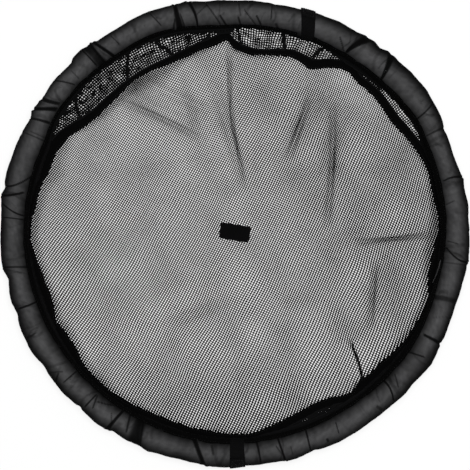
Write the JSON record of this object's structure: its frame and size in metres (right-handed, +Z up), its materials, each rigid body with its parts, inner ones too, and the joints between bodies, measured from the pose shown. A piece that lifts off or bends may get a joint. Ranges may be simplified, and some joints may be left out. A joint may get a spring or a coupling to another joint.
{
  "type": "floating round net",
  "caption": "Shallow round net basket hung from a foam tube ring in a mesh sleeve, lying slack with its wall tucked in and its base bound with tape.",
  "frame": {"origin": "on the floor, under the middle of the foam ring", "axes": "+Z up along the ring's axis, +Y towards the side where the slack base is drawn in, +X to the right of that"},
  "size_m": [0.7991, 0.8021, 0.049],
  "materials": {
    "hoop_plastic": "extruded polyethylene pipe",
    "joiner_plastic": "extruded polyethylene spigot",
    "foam": "closed-cell polyethylene foam, grey",
    "sleeve_mesh": "black knitted mesh, sheer over the foam",
    "tape": "black folded binding tape",
    "webbing": "black woven webbing",
    "net_mesh": "black 4 mm square mesh net",
    "label_cloth": "blank black woven patch"
  },
  "bodies": {
    "base": {"base_net": "net_mesh", "base_binding": "tape", "label_patch": "label_cloth", "wall_net": "net_mesh"},
    "ring": {"hoop_pipe": "hoop_plastic", "hoop_joiner": "joiner_plastic", "foam_length_1": "foam", "foam_length_2": "foam", "foam_length_3": "foam", "foam_length_4": "foam", "sleeve": "sleeve_mesh", "sleeve_hem": "tape", "webbing_a": "webbing", "webbing_b": "webbing"}
  },
  "joints": [
    {"name": "ring_lift", "type": "slide", "parent": "base", "child": "ring", "axis": [0, 0, 1], "range_m": [0, 0.025], "deforming": ["wall_net"]}
  ]
}
